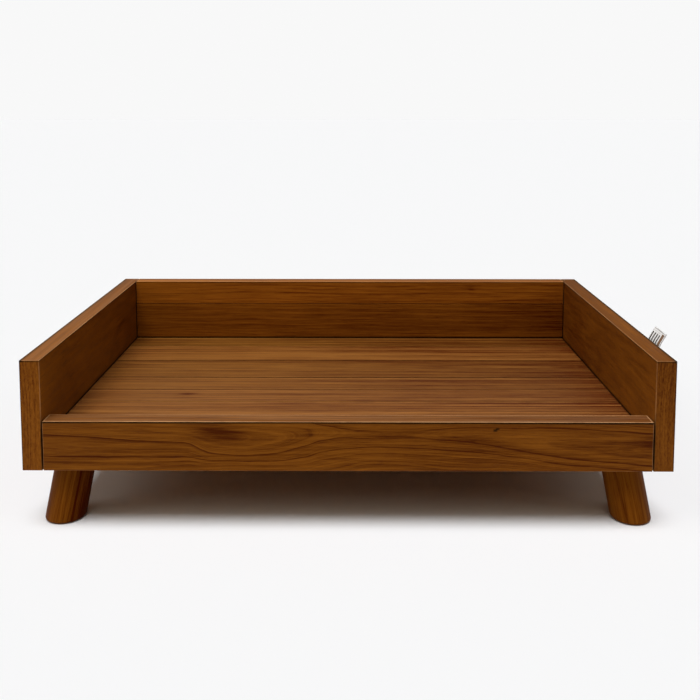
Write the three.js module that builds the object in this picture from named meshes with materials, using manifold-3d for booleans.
// A raised dog bed frame: a plank deck held between two side panels, a tall back and a low front rail,
// standing on four round splayed legs. Millimetres, +Z up, -Y is the open front, and the origin is on the
// floor under the middle of the frame.
import * as THREE from "three";
import { RoundedBoxGeometry } from "three/addons/geometries/RoundedBoxGeometry.js";
import { mergeVertices } from "three/addons/utils/BufferGeometryUtils.js";
import Module from "manifold-3d";

const wasm = await Module();
wasm.setup();

// Overall size of the frame, and the stock it is cut from.
const WIDTH = 900;
const DEPTH = 550;
const HEIGHT = 240;
const FRAME_BOTTOM = 84;
const BOARD = 28; // thickness of the side panels, the back and the front rail
const EASE = 1; // the small round sanded onto every board edge
const GAP = 0.3; // clearance between pieces that touch

const RAIL_HEIGHT = 70;
const RAIL_END_GAP = 1.2; // the shadow line at each end of the front rail
const BACK_GLUE_LINE = 196; // where the back's two boards meet

const DECK_TOP = 127;
const DECK_THICKNESS = 18;
const DECK_END_GAP = 1;
const DECK_BOARD_WIDTHS = [65, 64, 58, 60, 97, 93, 57]; // from the front rail to the back

const CLEAT = 25; // width of the ledger strips and battens under the deck
const BATTEN_X = 140;
const CORNER_BLOCK = 90;

const LEG_RADIUS = 28;
const LEG_TOP = { x: 391, y: 222 }; // where a leg's axis meets the underside of the frame
const LEG_SLOPE = 1 / 6; // sideways run of a leg for each unit of its height, in X and in Y
const LEG_FOOT_ROUND = 3;
const LEG_SIDES = 32;

const GLIDE = { radius: 20, thickness: 3, proud: 1 };
const BOLT = { radius: 4, inLeg: 33, inBlock: 22, collar: 1.2, tip: 7 };
const INSERT = { radius: 6, from: 2, to: 18 };
const DOWEL = { radius: 4, length: 36, chamfer: 1 };
const SCREW = { radius: 2, headRadius: 4, headDepth: 2.4, length: 35, tip: 4 };
const FASTENER_SIDES = 12;

const RAIL_DOWEL_Z = { lower: 102, upper: 136 };
const BACK_DOWEL_Z = { lower: 108, middle: 164, upper: 218 };
// Screw places on a corner block, measured in from the frame's inner corner.
const BLOCK_SCREWS = { inner: { x: 76, y: 28 }, outer: { x: 30, y: 76 } };

const LABEL = { y: -176, width: 45, thickness: 1.2, bottom: 206, bend: 235, tipX: 459, tipZ: 252 };
const STAPLE = { z: 213, crown: 12, wire: 0.9, height: 1, reach: 8 };

// What follows from them.
const INNER_X = WIDTH / 2 - BOARD;
const INNER_Y = DEPTH / 2 - BOARD;
const DECK_BOTTOM = DECK_TOP - DECK_THICKNESS;
const UNDER_DECK = DECK_BOTTOM - GAP; // top of everything that carries the deck
const LEG_LENGTHENING = Math.hypot(1, LEG_SLOPE, LEG_SLOPE);
const SIDES = { left: -1, right: 1 };
const ENDS = { front: -1, back: 1 };

const stained = (color) => ({ color, roughness: 0.5, metalness: 0 });
const FINISHES = {
  panel: stained(0x6b3e16),
  back: stained(0x5f3410),
  rail: stained(0x74451a),
  deck: stained(0x84512a),
  leg: stained(0x5c3210),
  inner: stained(0x7a4f2b),
  beech: { color: 0xc9a476, roughness: 0.65, metalness: 0 },
  steel: { color: 0xb4b6b8, roughness: 0.35, metalness: 1 },
  brass: { color: 0xb08d4a, roughness: 0.4, metalness: 1 },
  felt: { color: 0x3b3632, roughness: 0.95, metalness: 0 },
  label: { color: 0xf1efe9, roughness: 0.85, metalness: 0 },
};

const bed = new THREE.Group();

function addPiece(name, geometry, finish) {
  const mesh = new THREE.Mesh(geometry, new THREE.MeshStandardMaterial(FINISHES[finish]));
  mesh.name = name;
  bed.add(mesh);
}

function toSolid(geometry) {
  const bare = geometry.clone();
  bare.deleteAttribute("normal");
  bare.deleteAttribute("uv");
  const merged = mergeVertices(bare, 1e-3);
  return new wasm.Manifold(
    new wasm.Mesh({
      numProp: 3,
      vertProperties: merged.attributes.position.array,
      triVerts: new Uint32Array(merged.index.array),
    }),
  );
}

function toGeometry(solid) {
  const mesh = solid.getMesh();
  const geometry = new THREE.BufferGeometry();
  geometry.setAttribute("position", new THREE.BufferAttribute(mesh.vertProperties, 3));
  geometry.setIndex(new THREE.BufferAttribute(mesh.triVerts, 1));
  geometry.computeVertexNormals();
  return geometry;
}

function cut(geometry, tools) {
  return toGeometry(tools.reduce((solid, tool) => solid.subtract(toSolid(tool)), toSolid(geometry)));
}

// A board that fills the box between two corners, with its edges eased.
function board(low, high, ease = EASE) {
  const size = high.map((value, axis) => value - low[axis]);
  const middle = high.map((value, axis) => (value + low[axis]) / 2);
  return new RoundedBoxGeometry(...size, 1, ease).translate(...middle);
}

// A plain box between two corners, for cutting.
function slot(low, high) {
  const size = high.map((value, axis) => value - low[axis]);
  const middle = high.map((value, axis) => (value + low[axis]) / 2);
  return new THREE.BoxGeometry(...size).translate(...middle);
}

// A solid turned about the Z axis from [radius, height] points that start and end on the axis.
function turned(profile, sides) {
  const points = profile.map(([radius, height]) => new THREE.Vector2(radius, height));
  return new THREE.LatheGeometry(points, sides).rotateX(Math.PI / 2);
}

function rod(radius, from, to, sides = FASTENER_SIDES) {
  return turned([[0, from], [radius, from], [radius, to], [0, to]], sides);
}

// Dowels lie along X across the joint between a side panel and the board that meets it.
function dowel(side, y, z) {
  const half = DOWEL.length / 2;
  const { radius, chamfer } = DOWEL;
  const profile = [
    [0, -half],
    [radius - chamfer, -half],
    [radius, chamfer - half],
    [radius, half - chamfer],
    [radius - chamfer, half],
    [0, half],
  ];
  return turned(profile, FASTENER_SIDES).rotateY(Math.PI / 2).translate(side * INNER_X, y, z);
}

function dowelHole(side, y, z) {
  const reach = DOWEL.length / 2 + GAP;
  return rod(DOWEL.radius + GAP, -reach, reach).rotateY(Math.PI / 2).translate(side * INNER_X, y, z);
}

const railMiddleY = -DEPTH / 2 + BOARD / 2;
const backMiddleY = DEPTH / 2 - BOARD / 2;
const railDowelHoles = (side) =>
  Object.values(RAIL_DOWEL_Z).map((z) => dowelHole(side, railMiddleY, z));
const backDowelHoles = (side, heights) =>
  heights.map((z) => dowelHole(side, backMiddleY, z));

// The label's staple: its two prongs pass through the label into the right panel's outer face.
const labelFace = WIDTH / 2 + GAP;
const stapleOuter = labelFace + LABEL.thickness + GAP + STAPLE.wire;
const stapleTip = WIDTH / 2 - STAPLE.reach;

function stapleShape() {
  const half = STAPLE.crown / 2;
  const inside = half - STAPLE.wire;
  const shape = new THREE.Shape();
  shape.moveTo(stapleOuter, -half);
  shape.lineTo(stapleOuter, half);
  shape.lineTo(stapleTip, half);
  shape.lineTo(stapleTip, inside);
  shape.lineTo(stapleOuter - STAPLE.wire, inside);
  shape.lineTo(stapleOuter - STAPLE.wire, -inside);
  shape.lineTo(stapleTip, -inside);
  shape.lineTo(stapleTip, -half);
  return shape;
}

function staple() {
  const geometry = new THREE.ExtrudeGeometry(stapleShape(), { depth: STAPLE.height, bevelEnabled: false });
  return geometry.translate(0, LABEL.y, STAPLE.z - STAPLE.height / 2);
}

function prongHoles() {
  const clear = STAPLE.wire / 2 + GAP;
  const high = STAPLE.height / 2 + GAP;
  return [-1, 1].map((end) => {
    const y = LABEL.y + (end * (STAPLE.crown - STAPLE.wire)) / 2;
    return slot(
      [stapleTip - GAP, y - clear, STAPLE.z - high],
      [stapleOuter + GAP, y + clear, STAPLE.z + high],
    );
  });
}

function label() {
  const { thickness, bottom, bend, tipX, tipZ } = LABEL;
  const lean = new THREE.Vector2(tipX - labelFace - thickness, tipZ - bend).normalize();
  const across = new THREE.Vector2(-lean.y, lean.x).multiplyScalar(thickness);
  const shape = new THREE.Shape();
  shape.moveTo(labelFace, bottom);
  shape.lineTo(labelFace + thickness, bottom);
  shape.lineTo(labelFace + thickness, bend);
  shape.lineTo(tipX, tipZ);
  shape.lineTo(tipX + across.x, tipZ + across.y);
  shape.lineTo(labelFace, bend + thickness / 2);
  const strip = new THREE.ExtrudeGeometry(shape, { depth: LABEL.width, bevelEnabled: false });
  strip.rotateX(Math.PI / 2).translate(0, LABEL.y + LABEL.width / 2, 0);
  return cut(strip, prongHoles());
}

function sidePanel(side) {
  const edges = [side * INNER_X, (side * WIDTH) / 2].sort((a, b) => a - b);
  const panel = board([edges[0], -DEPTH / 2, FRAME_BOTTOM], [edges[1], DEPTH / 2, HEIGHT]);
  const holes = [...railDowelHoles(side), ...backDowelHoles(side, Object.values(BACK_DOWEL_Z))];
  return cut(panel, side === SIDES.right ? [...holes, ...prongHoles()] : holes);
}

function backBoard(bottom, top, dowelHeights) {
  const end = INNER_X - GAP;
  const plank = board([-end, INNER_Y, bottom], [end, DEPTH / 2, top]);
  return cut(plank, Object.values(SIDES).flatMap((side) => backDowelHoles(side, dowelHeights)));
}

function frontRail() {
  const end = INNER_X - RAIL_END_GAP;
  const rail = board([-end, -DEPTH / 2, FRAME_BOTTOM], [end, -INNER_Y, FRAME_BOTTOM + RAIL_HEIGHT]);
  return cut(rail, Object.values(SIDES).flatMap(railDowelHoles));
}

// Everything below is worked out for the corner at +X, +Y and mirrored by its signs.
function screwProfile(grow) {
  const { radius, headRadius, headDepth, length, tip } = SCREW;
  return [
    [0, -grow],
    [headRadius + grow, -grow],
    [headRadius + grow, 0],
    [radius + grow, headDepth],
    [radius + grow, length - tip],
    [0, length + grow],
  ];
}

function blockScrew(sideX, sideY, place, grow = 0) {
  const screw = turned(screwProfile(grow), FASTENER_SIDES);
  const x = sideX * (INNER_X - place.x);
  const y = sideY * (INNER_Y - place.y);
  return screw.translate(x, y, FRAME_BOTTOM + GAP);
}

function allScrewHoles() {
  return Object.values(SIDES).flatMap((sideX) =>
    Object.values(ENDS).flatMap((sideY) =>
      Object.values(BLOCK_SCREWS).map((place) => blockScrew(sideX, sideY, place, GAP)),
    ),
  );
}

// Turns a solid made along Z to a leg's own direction, with its zero where the leg meets the frame.
function alongLeg(geometry, sideX, sideY) {
  const up = new THREE.Vector3(0, 0, 1);
  const axis = new THREE.Vector3(-sideX * LEG_SLOPE, -sideY * LEG_SLOPE, 1).normalize();
  geometry.applyQuaternion(new THREE.Quaternion().setFromUnitVectors(up, axis));
  return geometry.translate(sideX * LEG_TOP.x, sideY * LEG_TOP.y, FRAME_BOTTOM);
}

// Leans a solid made upright, so that it keeps its level ends and its round section across the axis.
function leaning(geometry, sideX, sideY) {
  const stretch = (LEG_LENGTHENING - 1) / 2;
  const footX = sideX * (LEG_TOP.x + LEG_SLOPE * FRAME_BOTTOM);
  const footY = sideY * (LEG_TOP.y + LEG_SLOPE * FRAME_BOTTOM);
  const lean = new THREE.Matrix4().set(
    1 + stretch, stretch * sideX * sideY, -sideX * LEG_SLOPE, footX,
    stretch * sideX * sideY, 1 + stretch, -sideY * LEG_SLOPE, footY,
    0, 0, 1, 0,
    0, 0, 0, 1,
  );
  return geometry.applyMatrix4(lean);
}

function leg(sideX, sideY) {
  const top = FRAME_BOTTOM - GAP;
  const recess = GLIDE.radius + GAP;
  const hole = BOLT.radius + GAP;
  const holeEnd = top - BOLT.inLeg - BOLT.radius;
  const middle = LEG_RADIUS - LEG_FOOT_ROUND;
  const foot = [0, 30, 60, 90].map((degrees) => {
    const turn = THREE.MathUtils.degToRad(degrees);
    return [
      middle + LEG_FOOT_ROUND * Math.sin(turn),
      GLIDE.proud + LEG_FOOT_ROUND * (1 - Math.cos(turn)),
    ];
  });
  const profile = [
    [0, GLIDE.thickness + GAP],
    [recess, GLIDE.thickness + GAP],
    [recess, GLIDE.proud],
    ...foot,
    [LEG_RADIUS, top],
    [hole, top],
    [hole, holeEnd],
    [0, holeEnd],
  ];
  return leaning(turned(profile, LEG_SIDES), sideX, sideY);
}

function glide(sideX, sideY) {
  return leaning(rod(GLIDE.radius, 0, GLIDE.thickness, LEG_SIDES), sideX, sideY);
}

function hangerBolt(sideX, sideY) {
  const { radius, inLeg, inBlock, collar, tip } = BOLT;
  const core = radius - collar / 2;
  const profile = [
    [0, -inLeg],
    [core, tip - inLeg],
    [core, -collar],
    [radius, -collar],
    [radius, collar],
    [core, collar],
    [core, inBlock - collar],
    [core - collar, inBlock],
    [0, inBlock],
  ];
  return alongLeg(turned(profile, FASTENER_SIDES), sideX, sideY);
}

function threadedInsert(sideX, sideY) {
  const bore = BOLT.radius + GAP;
  const profile = [
    [bore, INSERT.from],
    [INSERT.radius, INSERT.from],
    [INSERT.radius, INSERT.to],
    [bore, INSERT.to],
    [bore, INSERT.from],
  ];
  return alongLeg(turned(profile, FASTENER_SIDES), sideX, sideY);
}

function cornerBlock(sideX, sideY) {
  const x = [sideX * (INNER_X - CORNER_BLOCK), sideX * (INNER_X - GAP)].sort((a, b) => a - b);
  const y = [sideY * (INNER_Y - CORNER_BLOCK), sideY * (INNER_Y - GAP)].sort((a, b) => a - b);
  const block = board([x[0], y[0], FRAME_BOTTOM], [x[1], y[1], UNDER_DECK]);
  const boltHole = rod(INSERT.radius + GAP, -CLEAT, 2 * CLEAT);
  const screwHoles = Object.values(BLOCK_SCREWS).map((place) => blockScrew(sideX, sideY, place, GAP));
  return cut(block, [alongLeg(boltHole, sideX, sideY), ...screwHoles]);
}

function addFrame() {
  for (const [name, side] of Object.entries(SIDES)) {
    addPiece(`${name}_side_panel`, sidePanel(side), "panel");
  }
  const lower = [BACK_DOWEL_Z.lower, BACK_DOWEL_Z.middle];
  addPiece("back_board_lower", backBoard(FRAME_BOTTOM, BACK_GLUE_LINE - GAP, lower), "back");
  addPiece("back_board_upper", backBoard(BACK_GLUE_LINE, HEIGHT, [BACK_DOWEL_Z.upper]), "back");
  addPiece("front_rail", frontRail(), "rail");
}

function addDeck() {
  const holes = allScrewHoles();
  let front = -INNER_Y;
  DECK_BOARD_WIDTHS.forEach((width, index) => {
    const low = [DECK_END_GAP - INNER_X, front + GAP, DECK_BOTTOM];
    const high = [INNER_X - DECK_END_GAP, front + width - GAP, DECK_TOP];
    addPiece(`deck_board_${index + 1}`, cut(board(low, high, EASE / 2), holes), "deck");
    front += width;
  });
}

function addDeckSupports() {
  const besideBlocks = { x: INNER_X - CORNER_BLOCK - GAP, y: INNER_Y - CORNER_BLOCK - GAP };
  for (const [name, side] of Object.entries(SIDES)) {
    const x = [side * (INNER_X - CLEAT), side * (INNER_X - GAP)].sort((a, b) => a - b);
    const low = [x[0], -besideBlocks.y, FRAME_BOTTOM];
    addPiece(`${name}_cleat`, board(low, [x[1], besideBlocks.y, UNDER_DECK]), "inner");
  }
  for (const [name, end] of Object.entries(ENDS)) {
    const y = [end * (INNER_Y - CLEAT), end * (INNER_Y - GAP)].sort((a, b) => a - b);
    const low = [-besideBlocks.x, y[0], FRAME_BOTTOM];
    addPiece(`${name}_cleat`, board(low, [besideBlocks.x, y[1], UNDER_DECK]), "inner");
  }
  for (const [name, side] of Object.entries(SIDES)) {
    const middle = side * BATTEN_X;
    const reach = INNER_Y - CLEAT - GAP;
    const low = [middle - CLEAT / 2, -reach, FRAME_BOTTOM];
    addPiece(`${name}_batten`, board(low, [middle + CLEAT / 2, reach, UNDER_DECK]), "inner");
  }
}

function addCorner(corner, sideX, sideY) {
  addPiece(`${corner}_corner_block`, cornerBlock(sideX, sideY), "inner");
  addPiece(`${corner}_leg`, leg(sideX, sideY), "leg");
  addPiece(`${corner}_glide`, glide(sideX, sideY), "felt");
  addPiece(`${corner}_hanger_bolt`, hangerBolt(sideX, sideY), "steel");
  addPiece(`${corner}_threaded_insert`, threadedInsert(sideX, sideY), "brass");
  for (const [place, offset] of Object.entries(BLOCK_SCREWS)) {
    addPiece(`${corner}_block_screw_${place}`, blockScrew(sideX, sideY, offset), "steel");
  }
}

function addDowels() {
  for (const [name, side] of Object.entries(SIDES)) {
    for (const [height, z] of Object.entries(RAIL_DOWEL_Z)) {
      addPiece(`rail_dowel_${name}_${height}`, dowel(side, railMiddleY, z), "beech");
    }
    for (const [height, z] of Object.entries(BACK_DOWEL_Z)) {
      addPiece(`back_dowel_${name}_${height}`, dowel(side, backMiddleY, z), "beech");
    }
  }
}

addFrame();
addDeck();
addDeckSupports();
for (const [end, sideY] of Object.entries(ENDS)) {
  for (const [side, sideX] of Object.entries(SIDES)) {
    addCorner(`${end}_${side}`, sideX, sideY);
  }
}
addDowels();
addPiece("side_label", label(), "label");
addPiece("label_staple", staple(), "steel");

export default bed;
